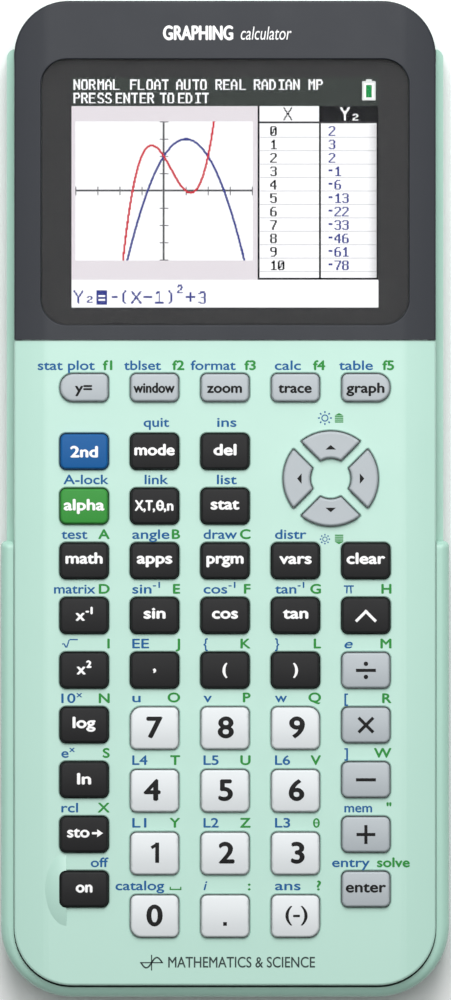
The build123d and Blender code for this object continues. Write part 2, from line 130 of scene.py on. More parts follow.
class Finish:
    """A material under construction, with its shader's fixed values given by name."""

    def __init__(self, name, **fixed):
        self.material = bpy.data.materials.new(name)
        self.material.use_nodes = True
        self.tree = self.material.node_tree
        self.shader = self.tree.nodes["Principled BSDF"]
        for key, value in fixed.items():
            self.shader.inputs[key.replace("_", " ").title().replace("Ior", "IOR")].default_value = value
        self.place = self.add("TexCoord", out="Object")

    def add(self, kind, settings=None, inputs=None, out=0):
        """One shader node of that type; returns the output asked for."""
        node = self.tree.nodes.new("ShaderNode" + kind)
        for key, value in (settings or {}).items():
            setattr(node, key, value)
        for key, value in (inputs or {}).items():
            self.plug(node.inputs[key], value)
        return Value(self, node.outputs[out])

    def plug(self, socket, value):
        """Links a Value to a socket, or sets a plain number or colour on it."""
        if isinstance(value, Value):
            self.tree.links.new(value.socket, socket)
        else:
            socket.default_value = value

    def noise(self, size, detail=2.0, roughness=0.5):
        """Cloudy noise whose lumps are about that large, in metres."""
        settings = {"noise_dimensions": "3D"}
        inputs = {"Vector": self.place, "Scale": 1 / size, "Detail": detail, "Roughness": roughness}
        return self.add("TexNoise", settings, inputs, "Fac")

    def mix(self, factor, first, second):
        """One colour turning into another with a factor."""
        sockets = {0: factor, 6: first, 7: second}
        return self.add("Mix", {"data_type": "RGBA"}, sockets, 2)

    def vary(self, **values):
        """Links values that change over the surface to the shader's own sockets."""
        for key, value in values.items():
            self.plug(self.shader.inputs[key.replace("_", " ").title()], value)
        return self

    def bump(self, height, depth):
        """Turns a height from 0 to 1 into relief of that depth, in metres."""
        normal = self.add("Bump", inputs={"Height": height, "Distance": depth, "Strength": 1.0})
        self.plug(self.shader.inputs["Normal"], normal)
        return self


def srgb(red, green, blue):
    """A colour given as 0 to 255 on a screen, as the linear colour that shaders use."""
    light = np.array([red, green, blue]) / 255
    linear = np.where(light <= 0.04045, light / 12.92, ((light + 0.055) / 1.055) ** 2.4)
    return (*linear.tolist(), 1.0)


print("linear mid green:", np.round(srgb(192, 229, 215), 3))

# %% [markdown]
# Moulded plastic takes its character from the steel mould: a fine spark-eroded grain breaks the
# highlight, and the gloss drifts a little where hands and packing have rubbed. The grain is noise a
# fraction of a millimetre across, pressed in a few micrometres deep. One recipe with other colours and
# other grain serves the shells, the bezel and the keys.

# %% The moulded plastic recipe
def moulded(name, colour, shade, gloss=0.4, grain=0.25 * MM, depth=4e-6, **fixed):
    """Plastic that drifts between two close colours, with an even grain and slightly uneven gloss."""
    finish = Finish(name, **fixed)
    cloud = finish.noise(18 * MM, detail=3)
    smear = finish.noise(7 * MM, detail=4, roughness=0.6)
    pores = finish.noise(grain, detail=1)
    finish.vary(base_color=finish.mix(cloud, colour, shade))
    finish.vary(roughness=0.12 * smear + 0.06 * pores + (gloss - 0.09))
    return finish.bump(pores, depth).material


materials = {
    "shell": moulded("mint_shell", srgb(179, 216, 202), srgb(175, 213, 199), gloss=0.31),
    "case": moulded("mint_case", srgb(166, 205, 190), srgb(162, 202, 187), gloss=0.4),
    "bezel": moulded(
        "bezel_grey", srgb(46, 49, 55), srgb(43, 46, 52),
        gloss=0.46, grain=0.3 * MM, depth=7e-6, specular_ior_level=0.27,
    ),
    "key_dark": moulded(
        "key_charcoal", srgb(32, 32, 33), srgb(36, 36, 37), gloss=0.42, specular_ior_level=0.12
    ),
    "key_grey": moulded("key_silver_grey", srgb(171, 178, 182), srgb(167, 175, 180), gloss=0.38),
    "key_light": moulded("key_off_white", srgb(216, 220, 222), srgb(212, 217, 219), gloss=0.36),
    "key_blue": moulded(
        "key_blue", srgb(14, 86, 148), srgb(18, 90, 152), gloss=0.4, specular_ior_level=0.15
    ),
    "key_green": moulded(
        "key_green", srgb(52, 139, 55), srgb(56, 144, 59), gloss=0.4, specular_ior_level=0.15
    ),
}
print("plastics:", ", ".join(sorted(materials)))

# %% [markdown]
# The hidden parts have finishes too: a case slid off or a cover taken away shows them. The circuit
# board is lacquered fibreglass with a faint weave, the membrane is milky silicone, and the battery is
# wrapped in dull film.

# %% Finishes of the hidden parts
WEAVE_SCALE = 120.0
STREAK_SCALE = 3000.0


def board_finish():
    """Green lacquer over a glass weave: two fine waves at right angles."""
    finish = Finish("board_lacquer", coat_weight=0.5, coat_roughness=0.2)
    wave_inputs = {"Vector": finish.place, "Scale": WEAVE_SCALE, "Distortion": 0.3}
    across = finish.add("TexWave", {"bands_direction": "X"}, wave_inputs, "Fac")
    along = finish.add("TexWave", {"bands_direction": "Y"}, wave_inputs, "Fac")
    weave = across * along
    finish.vary(base_color=finish.mix(weave, srgb(20, 92, 52), srgb(32, 116, 66)))
    finish.vary(roughness=finish.noise(3 * MM) * 0.2 + 0.3)
    return finish.bump(weave, 5e-6).material


def silicone_finish():
    """Milky rubber, a little darker where it is thicker."""
    finish = Finish("silicone_sheet", subsurface_weight=0.15, subsurface_scale=0.002)
    finish.vary(base_color=finish.mix(finish.noise(9 * MM), srgb(196, 198, 192), srgb(180, 183, 178)))
    finish.vary(roughness=finish.noise(1 * MM) * 0.15 + 0.5)
    return finish.bump(finish.noise(0.4 * MM), 6e-6).material


def wrap_finish():
    """Dull shrink film with long soft wrinkles."""
    finish = Finish("battery_wrap")
    wrinkle = finish.noise(6 * MM, detail=3)
    finish.vary(base_color=finish.mix(wrinkle, srgb(52, 54, 58), srgb(66, 68, 72)))
    finish.vary(roughness=wrinkle * 0.2 + 0.35)
    return finish.bump(wrinkle, 8e-5).material


def panel_finish():
    """Thin dark steel of the display's tray, brushed along X."""
    finish = Finish("panel_tray", metallic=0.7)
    stretched = finish.add("Mapping", inputs={"Vector": finish.place, "Scale": (0.05, 1.0, 1.0)})
    streak_inputs = {"Vector": stretched, "Scale": STREAK_SCALE, "Detail": 2.0}
    streaks = finish.add("TexNoise", {"noise_dimensions": "3D"}, streak_inputs, "Fac")
    finish.vary(base_color=finish.mix(streaks, srgb(52, 54, 56), srgb(74, 76, 78)))
    finish.vary(roughness=streaks * 0.2 + 0.3)
    return finish.bump(streaks, 2e-6).material


materials["board"] = board_finish()
materials["rubber_sheet"] = silicone_finish()
materials["battery"] = wrap_finish()
materials["panel"] = panel_finish()
print("finishes so far:", len(materials))

# %% [markdown]
# The lens is a clear acrylic sheet. A refracting sheet would leave what lies behind it in the dark,
# because light only reaches it by bending, so the lens is a faint smoky film that lets nearly all
# light through, with a hard glossy face.

# %% The clear lens
def lens_finish():
    """A nearly transparent face whose gloss is broken by faint wipe marks."""
    finish = Finish("clear_lens", base_color=(0.02, 0.022, 0.025, 1), ior=1.49)
    wipe = finish.noise(12 * MM, detail=3)
    finish.vary(roughness=wipe * 0.05 + 0.03)
    finish.vary(alpha=wipe * 0.02 + 0.05)
    return finish.material


materials["lens"] = lens_finish()
slots = {part["node"]: part["material_slot"] for part in frame["record"]["subparts"]}
for name, node in frame["nodes"].items():
    node.data.materials.clear()
    node.data.materials.append(materials[slots[name]])
print("finished", len(slots), "parts in", len(set(slots.values())), "finishes")

# %% [markdown]
# Everything printed on the calculator is a thin layer of ink. Each layer is a flat mesh: letters come
# from Blender's own font, turned to a mesh, and signs are bars and discs. A `Print` gathers the pieces
# of one layer as arrays of points and faces, then lays them on a surface given as a height function,
# so that ink on a curved key follows its curve.

# %% Ink layers
INK_LIFT = 0.03 * MM
COAT = 0.003 * MM
STRIP = 0.8 * MM                    # ink is cut across at this spacing, so that it can follow a curve
CAPITAL_HEIGHT = 0.687              # height of the built-in font's capitals at size 1
CURVE_STEPS = 5
RAISED = 0.62                       # size and rise of a raised sign, as shares of a capital
RAISED_GAP = 0.1
BOLD_MOVES = [(0, 0), (1, 0), (-1, 0), (0, 0.8), (0, -0.8)]


class Print:
    """Flat ink gathered as arrays: points in XY, and faces that count from each piece's first point."""

    def __init__(self):
        self.points = []
        self.faces = []
        self.count = 0

    def put(self, points, faces, coat=0):
        """Adds one piece of ink; a higher coat lies over the ones below it."""
        self.points.append(np.column_stack([points, np.full(len(points), coat * COAT)]))
        self.faces += [tuple(self.count + corner for corner in face) for face in faces]
        self.count += len(points)

    def build(self, name, body, material, slot, height):
        """One mesh for the layer, cut into strips and lifted onto the surface height(x, y)."""
        flat = np.vstack(self.points)
        mesh = bpy.data.meshes.new(name)
        mesh.from_pydata(flat.tolist(), [], self.faces)
        low, high = flat[:, 1].min(), flat[:, 1].max()
        cutter = bmesh.new()
        cutter.from_mesh(mesh)
        for level in np.arange(low + STRIP, high, STRIP):
            parts = cutter.verts[:] + cutter.edges[:] + cutter.faces[:]
            bmesh.ops.bisect_plane(cutter, geom=parts, plane_co=(0, level, 0), plane_no=(0, 1, 0))
        cutter.to_mesh(mesh)
        cutter.free()
        lay_on(mesh, height)
        return keep(mesh, name, body, material)


def coordinates(mesh):
    """A mesh's points as an array."""
    values = np.empty(3 * len(mesh.vertices))
    mesh.vertices.foreach_get("co", values)
    return values.reshape(-1, 3)


def lay_on(mesh, height):
    """Raises each point by the surface's height at its x and y, and by the thickness of the ink."""
    points = coordinates(mesh)
    points[:, 2] += height(points[:, 0], points[:, 1]) + INK_LIFT
    mesh.vertices.foreach_set("co", points.ravel())
    mesh.update()


def keep(mesh, name, body, material):
    """Puts a finished mesh into the scene, riding on a body."""
    mesh.materials.append(material)
    piece = bpy.data.objects.new(name, mesh)
    bpy.context.scene.collection.objects.link(piece)
    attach(piece, body)
    return piece


def letters(words, slant=0.0):
    """Blender's own font as flat points and faces, with its capitals one unit high."""
    curve = bpy.data.curves.new("letters", "FONT")
    curve.body = words
    curve.shear = slant
    curve.resolution_u = CURVE_STEPS
    holder = bpy.data.objects.new("letters", curve)
    mesh = bpy.data.meshes.new_from_object(holder)
    points = coordinates(mesh)[:, :2] / CAPITAL_HEIGHT
    faces = [tuple(face.vertices) for face in mesh.polygons]
    bpy.data.objects.remove(holder)
    bpy.data.curves.remove(curve)
    bpy.data.meshes.remove(mesh)
    return points, faces


def write(layer, words, at, capital, wide=1.0, bold=0.0, slant=0.0, anchor=0.5, width=None):
    """Words on a baseline at a point, their capitals that high. A ^ raises what follows it.

    anchor is the share of the width that lies left of the point: 0 starts there, 1 ends there.
    Bold letters are printed five times, moved by a little each way, every coat over the last.
    """
    base, _, raised = words.partition("^")
    points, faces = letters(base, slant)
    pieces = [(points * (wide, 1), faces)]
    if raised:
        small, small_faces = letters(raised, slant)
        shift = (points[:, 0].max() * wide + RAISED_GAP, RAISED)
        pieces.append((small * (RAISED * wide, RAISED) + shift, small_faces))
    every = np.vstack([piece for piece, _ in pieces])
    left, right = every[:, 0].min(), every[:, 0].max()
    stretch = (width - 2 * bold * capital) / (capital * (right - left)) if width else 1.0
    for coat, move in enumerate(BOLD_MOVES if bold else BOLD_MOVES[:1]):
        for piece, piece_faces in pieces:
            x = (piece[:, 0] - left - anchor * (right - left)) * stretch
            placed = np.column_stack([x, piece[:, 1]]) + np.array(move) * bold
            layer.put(placed * capital + at, piece_faces, coat)


def stroke(start, end, thickness):
    """A straight stroke with square ends, as points and faces."""
    start, end = np.array(start), np.array(end)
    along = (end - start) / np.linalg.norm(end - start)
    side = np.array([-along[1], along[0]]) * thickness / 2
    return np.array([start + side, start - side, end - side, end + side]), [(0, 1, 2, 3)]


def bar(layer, start, end, thickness):
    """Adds one straight stroke to a layer."""
    layer.put(*stroke(start, end, thickness))


def disc(layer, centre, radius, corners=32):
    """A filled circle: points at even angles round the centre."""
    turn = np.arange(corners) / corners * 2 * np.pi
    ring = np.column_stack([np.cos(turn), np.sin(turn)]) * radius + centre
    layer.put(ring, [tuple(range(corners))])


def polygon(layer, points):
    """A filled outline, its corners given anticlockwise."""
    layer.put(np.array(points), [tuple(range(len(points)))])


def ink(name, colour):
    """Dry screen ink: almost flat colour, duller than the plastic and slightly uneven."""
    finish = Finish(name, specular_ior_level=0.2)
    uneven = finish.noise(0.6 * MM, detail=2)
    darker = tuple(0.9 * channel for channel in colour[:3]) + (1.0,)
    finish.vary(base_color=finish.mix(uneven, colour, darker))
    finish.vary(roughness=uneven * 0.2 + 0.45)
    return finish.material


inks = {
    "white": ink("ink_white", srgb(250, 250, 250)),
    "black": ink("ink_black", srgb(14, 14, 15)),
    "blue": ink("ink_blue", srgb(20, 92, 150)),
    "green": ink("ink_green", srgb(44, 140, 58)),
    "grey": ink("ink_grey", srgb(52, 68, 66)),
}
print("inks:", ", ".join(inks))

# %% [markdown]
# Each key carries its own ink, because it moves with the key. The words are the plain ones that such a
# keypad needs: digits, operators, names of functions. Dark keys have heavy white letters, the digits
# are heavy and black, and the soft grey keys have lighter black words.

# %% Ink on the keys
def key_top(node):
    """The height of a key's top at x and y: a shallow arc about the key's middle line."""
    (_, middle), _, top = cap(node)
    return lambda x, y: top - KEY_CROWN + np.sqrt(KEY_CROWN**2 - (y - middle) ** 2)


WHITE_WORDS = {
    "second": ("2nd", -1.05, 5.3), "mode": ("mode", -0.65, 7.7), "delete": ("del", -0.65, 4.4),
    "alpha": ("alpha", -0.72, 7.8), "stat": ("stat", -0.55, 5.5),
    "math": ("math", -0.45, 7.1), "apps": ("apps", -0.45, 6.8), "program": ("prgm", -0.45, 7.1),
    "vars": ("vars", -0.5, 6.2), "clear": ("clear", -0.5, 7.4), "inverse": ("x^-1", -0.9, 3.3),
    "sine": ("sin", -0.5, 4.2), "cosine": ("cos", -0.5, 5.0), "tangent": ("tan", -0.5, 4.9),
    "square": ("x^2", -0.7, 2.9), "log": ("log", -0.5, 4.4), "natural_log": ("ln", -0.8, 2.7),
    "on": ("on", -0.55, 3.2), "comma": (",", -0.1, None), "bracket_open": ("(", -0.7, None),
    "bracket_close": (")", -0.7, None),
}
SOFT_WORDS = {
    "y_equals": ("y=", 3.3), "window": ("window", 7.9), "zoom": ("zoom", 6.7),
    "trace": ("trace", 6.4), "graph": ("graph", 7.3),
}


WHITE_CAPITAL = 2.02 * MM
SOFT_CAPITAL = 1.85 * MM
DIGIT_CAPITAL = 3.85 * MM
DIGIT_BASE = 1.75 * MM              # from a digit key's centre down to its baseline


def label_key(key, layer, colour):
    """Builds one key's ink on its top."""
    node = "key_" + key
    slot = slots[node]
    layer.build("legend_" + key, node, inks[colour], slot, key_top(node))


for key, (words, baseline, width) in WHITE_WORDS.items():
    (x, y), _, _ = cap("key_" + key)
    layer = Print()
    spread = width * MM if width else None
    write(layer, words, (x, y + baseline * MM), WHITE_CAPITAL, bold=0.06, width=spread)
    label_key(key, layer, "white")

for key, (words, width) in SOFT_WORDS.items():
    (x, y), _, _ = cap("key_" + key)
    layer = Print()
    write(layer, words, (x - 0.1 * MM, y - 0.95 * MM), SOFT_CAPITAL, bold=0.05, width=width * MM)
    label_key(key, layer, "black")

DIGITS = "023456789"
DIGIT_RIGHT = {"8": 0.15, "9": 0.3, "4": -0.45, "5": 0.12, "6": 0.2, "2": 0.3, "3": 0.45}
for digit in DIGITS:
    (x, y), _, _ = cap("key_" + digit)
    layer = Print()
    at = (x + DIGIT_RIGHT.get(digit, 0.0) * MM, y - DIGIT_BASE)
    write(layer, digit, at, DIGIT_CAPITAL, wide=1.12, bold=0.045)
    label_key(digit, layer, "black")
print("words on", len(WHITE_WORDS) + len(SOFT_WORDS) + len(DIGITS), "keys")

# %% [markdown]
# Operators are bars and dots rather than letters: the strokes are longer and thinner than any font's.

# %% Signs on the keys
def stroke_key(key, strokes=(), dots=(), colour="black", thickness=0.6):
    """A key marked with bars and dots, in millimetres from its centre."""
    (x, y), _, _ = cap("key_" + key)
    centre = np.array([x, y])
    layer = Print()
    for x0, y0, x1, y1 in strokes:
        bar(layer, centre + np.array([x0, y0]) * MM, centre + np.array([x1, y1]) * MM, thickness * MM)
    for dot_x, dot_y, radius in dots:
        disc(layer, centre + np.array([dot_x, dot_y]) * MM, radius * MM)
    label_key(key, layer, colour)


stroke_key("divide", [(-1.9, 0, 1.9, 0)], [(0, 1.25, 0.42), (0, -1.25, 0.42)])
stroke_key("multiply", [(-1.4, -1.4, 1.4, 1.4), (-1.4, 1.4, -0.18, 0.18), (0.18, -0.18, 1.4, -1.4)])
stroke_key("subtract", [(-1.9, 0, 1.9, 0)])
stroke_key("add", [(-1.8, 0, 1.8, 0), (0, 0.25, 0, 1.8), (0, -0.25, 0, -1.8)])
stroke_key("power", [(-1.9, -1.1, 0.2, 1.0), (1.9, -1.1, -0.2, 1.0)], colour="white", thickness=0.52)
stroke_key("point", [(-0.35, -1.45, 0.35, -1.45)], thickness=0.7)


def theta(layer, centre, capital, bold):
    """The Greek letter: a nought with a bar across it."""
    write(layer, "0", (centre[0], centre[1] - capital / 2), capital, wide=1.1, bold=bold)
    reach = np.array([0.3 * capital, 0])
    layer.put(*stroke(centre - reach, centre + reach, 0.11 * capital), coat=6)


(x, y), _, _ = cap("key_variable")
variable = Print()
write(variable, "X,T,", (x - 3.7 * MM, y - 0.8 * MM), 1.9 * MM, bold=0.05, anchor=0.0, width=3.9 * MM)
theta(variable, np.array([x + 1.05 * MM, y + 0.15 * MM]), 1.9 * MM, 0.05)
write(variable, ",n", (x + 1.8 * MM, y - 0.8 * MM), 1.9 * MM, bold=0.05, anchor=0.0, width=1.9 * MM)
label_key("variable", variable, "white")

(x, y), _, _ = cap("key_1")
one = Print()
bar(one, (x + 0.5 * MM, y - DIGIT_BASE), (x + 0.5 * MM, y + 2.1 * MM), 0.74 * MM)
one.put(*stroke((x - 0.6 * MM, y + 1.1 * MM), (x + 0.45 * MM, y + 1.75 * MM), 0.6 * MM), coat=1)
label_key("1", one, "black")

(x, y), _, _ = cap("key_enter")
enter = Print()
write(enter, "enter", (x, y - 0.55 * MM), 2.0 * MM, bold=0.045, width=7.7 * MM)
label_key("enter", enter, "black")

(x, y), _, _ = cap("key_negative")
negative = Print()
write(negative, "(-)", (x + 0.2 * MM, y - 0.8 * MM), 2.7 * MM, wide=1.25, bold=0.02)
label_key("negative", negative, "black")

(x, y), _, _ = cap("key_store")
store = Print()
write(store, "sto", (x - 1.1 * MM, y - 0.5 * MM), 2.0 * MM, bold=0.05, width=4.3 * MM)
bar(store, (x + 1.5 * MM, y + 0.25 * MM), (x + 2.6 * MM, y + 0.25 * MM), 0.42 * MM)
arrow_head = [(2.5, -0.5), (3.6, 0.25), (2.5, 1.0)]
polygon(store, [(x + right * MM, y + up * MM) for right, up in arrow_head])
label_key("store", store, "white")

# %% [markdown]
# The four arrow keys make a ring. Each has a small triangle that points outwards, placed by turning one
# triangle about the ring's centre, which is the middle of the four keys' boxes together.

# %% Arrows
ring_boxes = np.array([box("key_" + name) for name in ("left", "right", "up", "down")])
ring_centre = ((ring_boxes[:, 0].min(axis=0) + ring_boxes[:, 1].max(axis=0)) / 2)[:2]
ring_top = ring_boxes[0, 1, 2]


def turned(points, angle):
    """Points turned anticlockwise about the origin."""
    spin = np.array([[np.cos(angle), np.sin(angle)], [-np.sin(angle), np.cos(angle)]])
    return np.array(points) @ spin


def arrow_top(x, y):
    """The flat tops of the arrow keys."""
    return np.full_like(x, ring_top)


for quarter, name in enumerate(["right", "up", "left", "down"]):
    triangle = turned([(5.55, -1.0), (6.4, 0), (5.55, 1.0)], quarter * np.pi / 2) * MM
    layer = Print()
    polygon(layer, triangle + ring_centre)
    node = "key_" + name
    layer.build("legend_" + name, node, inks["black"], slots[node], arrow_top)
print("arrow ring centred at", (ring_centre / MM).round(2), "mm")

# %% [markdown]
# Above each key the housing carries a second function in blue and a letter in green. Blue words start
# at the key's left edge, moved a little to the right in some columns, and green letters end near its
# right edge, so both follow from the keys' places.

# %% Labels on the housing
SECOND_WORDS = {
    "y_equals": ("stat plot", 10.9, "f1"), "window": ("tblset", 7.1, "f2"),
    "zoom": ("format", 8.6, "f3"),
    "trace": ("calc", 5.0, "f4"), "graph": ("table", 6.5, "f5"), "mode": ("quit", 4.9, ""),
    "delete": ("ins", 3.7, ""), "alpha": ("A-lock", 8.6, ""), "variable": ("link", 4.5, ""),
    "stat": ("list", 3.8, ""), "math": ("test", 5.0, "A"), "apps": ("angle", 7.1, "B"),
    "program": ("draw", 6.4, "C"), "vars": ("distr", 6.0, ""), "inverse": ("matrix", 7.9, "D"),
    "sine": ("sin^-1", 5.3, "E"), "cosine": ("cos^-1", 6.1, "F"), "tangent": ("tan^-1", 5.6, "G"),
    "power": ("", None, "H"), "square": ("", None, "I"), "comma": ("EE", 3.2, "J"),
    "bracket_open": ("{", None, "K"), "bracket_close": ("}", None, "L"), "divide": ("e", 1.6, "M"),
    "log": ("10^x", 4.0, "N"), "7": ("u", 1.6, "O"), "8": ("v", 1.6, "P"), "9": ("w", 2.3, "Q"),
    "multiply": ("[", None, "R"), "natural_log": ("e^x", 2.6, "S"), "4": ("L4", 2.9, "T"),
    "5": ("L5", 2.9, "U"), "6": ("L6", 2.9, "V"), "subtract": ("]", None, "W"),
    "store": ("rcl", 3.2, "X"),
    "1": ("L1", 2.7, "Y"), "2": ("L2", 2.9, "Z"), "3": ("L3", 2.9, ""), "add": ("mem", 5.3, '"'),
    "on": ("off", 3.4, ""), "0": ("catalog", 9.3, ""), "point": ("i", None, ":"),
    "negative": ("ans", 4.9, "?"),
    "enter": ("entry", 7.2, "solve"),
}
CENTRED = ("mode", "delete", "alpha", "variable", "stat")
WIDER = {
    "y_equals": (-4.5, 0.5), "window": (-1.5, 0.8), "zoom": (-2.2, 1.0), "trace": (0.4, 0.8),
    "graph": (-0.8, 0.5),
    "inverse": (-1.4, 0.0), "0": (-3.2, 0.0), "enter": (-2.35, 3.5), "on": (5.6, 0.0),
}
LABEL_CAPITAL = 1.75 * MM
COLUMN_RIGHT = {-2: 0.0, -1: 0.1, 0: 0.25, 1: 0.45, 2: 0.25}
LINE_SHARE = 1.15                   # of a key's half length, from its centre up to its label's line
LINE_LIFT = 0.44 * MM


def label_line(y, half_y, lift=LINE_LIFT):
    """The level of a key's label: a share of its half length above its centre, and a fixed lift."""
    return y + LINE_SHARE * half_y + lift


blue, green = Print(), Print()
for key, (second, width, letter) in SECOND_WORDS.items():
    (x, y), (half_x, half_y), _ = cap("key_" + key)
    line = label_line(y, half_y)
    before, after = WIDER.get(key, (0.0, 0.0))
    before += 0.0 if key in SOFT_WORDS else COLUMN_RIGHT[round(x / COLUMN_PITCH)]
    start = (x + 0.35 * MM, line) if key in CENTRED else (x - half_x + (0.2 + before) * MM, line)
    if key in ("mode", "delete"):
        start = (x + 0.35 * MM, line + 0.5 * MM)
    style = {"bold": 0.03, "slant": 0.25 if key in ("point", "divide") else 0.0}
    spread = width * MM if width else None
    if second:
        anchor = 0.5 if key in CENTRED else 0.0
        write(blue, second, start, LABEL_CAPITAL, anchor=anchor, width=spread, **style)
    if letter:
        end = (x + half_x + (0.3 + after) * MM, line)
        write(green, letter, end, LABEL_CAPITAL, wide=1.2, bold=0.05, anchor=1.0)


def drawn_sign(layer, key, strokes, thickness=0.24):
    """A sign made of strokes, in millimetres from the place where the key's blue label starts."""
    (x, y), (half_x, half_y), _ = cap("key_" + key)
    corner = np.array([x - half_x + 0.3 * MM, label_line(y, half_y)])
    for x0, y0, x1, y1 in strokes:
        bar(layer, corner + np.array([x0, y0]) * MM, corner + np.array([x1, y1]) * MM, thickness * MM)


(x, y), (half_x, half_y), _ = cap("key_3")
theta(green, np.array([x + half_x - 0.5 * MM, label_line(y, half_y, 1.29 * MM)]), LABEL_CAPITAL, 0.02)
drawn_sign(blue, "power", [(0, 1.4, 1.9, 1.4), (0.55, 0, 0.62, 1.27), (1.4, 0, 1.3, 1.27)], 0.28)
root_tick = [(0, 0.75, 0.3, 0.85), (0.36, 0.85, 0.75, 0.1), (0.86, 0.1, 1.35, 1.55)]
root_sign = root_tick + [(1.4, 1.62, 3.0, 1.62)]
drawn_sign(blue, "square", root_sign)

FLAT_HALF = 33.6 * MM
CREASE_RADIUS = 10.0 * MM
CREASE_TURN = np.radians(6)
FLANK_RADIUS = 80.0 * MM


def face_height(x, y, level=FACE_Z):
    """The housing's section: flat, then a short arc for the crease, then a long arc for the flank.

    An arc of radius r drops by r minus the square root of r squared less the distance squared.
    """
    over = np.maximum(np.abs(x) - FLAT_HALF, 0)
    crease = np.minimum(over, CREASE_RADIUS * np.sin(CREASE_TURN))
    flank = over - crease + FLANK_RADIUS * np.sin(CREASE_TURN)
    drop = CREASE_RADIUS - np.sqrt(CREASE_RADIUS**2 - crease**2)
    return level - drop - FLANK_RADIUS * np.cos(CREASE_TURN) + np.sqrt(FLANK_RADIUS**2 - flank**2)


def sun(layer, centre, radius):
    """A ring with eight short rays, for the display's brightness."""
    steps = 32
    turn = np.linspace(0, 2 * np.pi, steps + 1)
    circle = np.column_stack([np.cos(turn), np.sin(turn)]) * radius * MM
    faces = [(i, i + steps + 1, i + steps + 2, i + 1) for i in range(steps)]
    layer.put(np.vstack([circle * 0.7, circle]) + centre, faces)
    for ray in np.arange(8) * np.pi / 4:
        way = np.array([np.cos(ray), np.sin(ray)]) * radius * MM
        bar(layer, centre + way * 1.4, centre + way * 1.95, 0.27 * MM)


def page_mark(layer, centre, way):
    """Four thin lines with a triangle at one end, for moving by a page up or down."""
    for step in np.arange(4):
        level = centre[1] + way * (step * 0.36 - 0.75) * MM
        bar(layer, (centre[0] - 0.8 * MM, level), (centre[0] + 0.8 * MM, level), 0.23 * MM)
    tip = np.array([(0.8, 0.52), (0, 0.95), (-0.8, 0.52)])[::way]
    polygon(layer, tip * (MM, way * MM) + centre)


for way, radius in ((1, 0.68), (-1, 0.5)):
    row = ring_centre[1] + way * 11.55 * MM
    sun(blue, np.array([ring_centre[0] - 1.1 * MM, row]), radius)
    page_mark(green, np.array([ring_centre[0] + 1.6 * MM, row]), way)
space_ends = np.array([(3.0, 0.0), (5.0, 0.0)]) * MM + cap("key_0")[0] + (0, 5.1 * MM)
bar(green, *space_ends, 0.24 * MM)
for end in space_ends:
    bar(green, end - (0, 0.12 * MM), end + (0, 0.5 * MM), 0.24 * MM)
blue.build("labels_blue", "calculator", inks["blue"], "shell", face_height)
green.build("labels_green", "calculator", inks["green"], "shell", face_height)
print("labels over", len(SECOND_WORDS), "keys")

# %% [markdown]
# Two plain titles: one on the bezel in white, and one at the foot in dark ink, beside a small picture of
# a graph drawn with bars. The words only say what the object is.

# %% Titles
TITLE_LINE = 87.6 * MM
FOOT_LINE = -89.3 * MM
title = Print()
write(title, "GRAPHING", (-11.7 * MM, TITLE_LINE), 2.6 * MM, bold=0.05, anchor=0.0, width=13.4 * MM)
write(title, "calculator", (3.0 * MM, TITLE_LINE), 2.5 * MM, slant=0.2, anchor=0.0, width=9.7 * MM)
title.build("title_bezel", "calculator", inks["white"], "bezel", lambda x, y: face_height(x, y, BEZEL_Z))

foot = Print()
foot_at = (-10.8 * MM, FOOT_LINE)
write(foot, "MATHEMATICS & SCIENCE", foot_at, 2.0 * MM, bold=0.015, anchor=0.0, width=28.0 * MM)
axes_at = np.array([-14.0 * MM, FOOT_LINE + 0.9 * MM])
bar(foot, axes_at - (2.2 * MM, 0), axes_at + (2.2 * MM, 0), 0.22 * MM)
bar(foot, axes_at - (0, 1.5 * MM), axes_at + (0, 1.5 * MM), 0.22 * MM)
wave_x = np.linspace(-2.0, 2.0, 17)
wave = np.column_stack([wave_x, np.sin(wave_x * 1.55)]) * MM + axes_at
for start, end in zip(wave[:-1], wave[1:]):
    bar(foot, start, end, 0.3 * MM)
foot.build("title_foot", "calculator", inks["grey"], "shell", face_height)
print("titles at", TITLE_LINE / MM, "and", FOOT_LINE / MM, "mm")

# %% [markdown]
# The lens has a dark frame on its underside, with an opening for the lit area. The frame reaches just
# past the lens into the thin gap round it: that reach is painted shade, a dark sheet that makes the gap
# look dark. Its outer edge is the lens's rounded outline, and each of those points, held inside the
# opening's rectangle, gives the matching point of the inner edge.

# %% The printed frame round the display
PIXEL = 0.183 * MM
COLUMNS, ROWS = 320, 240
screen_centre = np.array([0.0, 58.5 * MM])
screen_half = np.array([COLUMNS, ROWS]) * PIXEL / 2
# painted shade: the frame's reach past the lens lays dark into the gap round it
BORDER_SHADE_REACH = 0.14 * MM            # how far the frame reaches past the lens
BORDER_CORNER = 4.94 * MM
BORDER_SUNK = 0.04 * MM             # from the lens's underside down to the frame
PICTURE_LIFT = 0.05 * MM            # from the glass up to the picture


def rounded_outline(low, high, radius, steps=12):
    """A rectangle with rounded corners, anticlockwise: a quarter circle about each corner's centre."""
    middle, reach = (low + high) / 2, (high - low) / 2 - radius
    turn = np.arange(4 * (steps + 1))
    angle = (turn // (steps + 1) + turn % (steps + 1) / steps) * np.pi / 2
    corner = turn // (steps + 1)
    sign = np.array([(1, 1), (-1, 1), (-1, -1), (1, -1)])[corner]
    return middle + sign * reach + np.column_stack([np.cos(angle), np.sin(angle)]) * radius


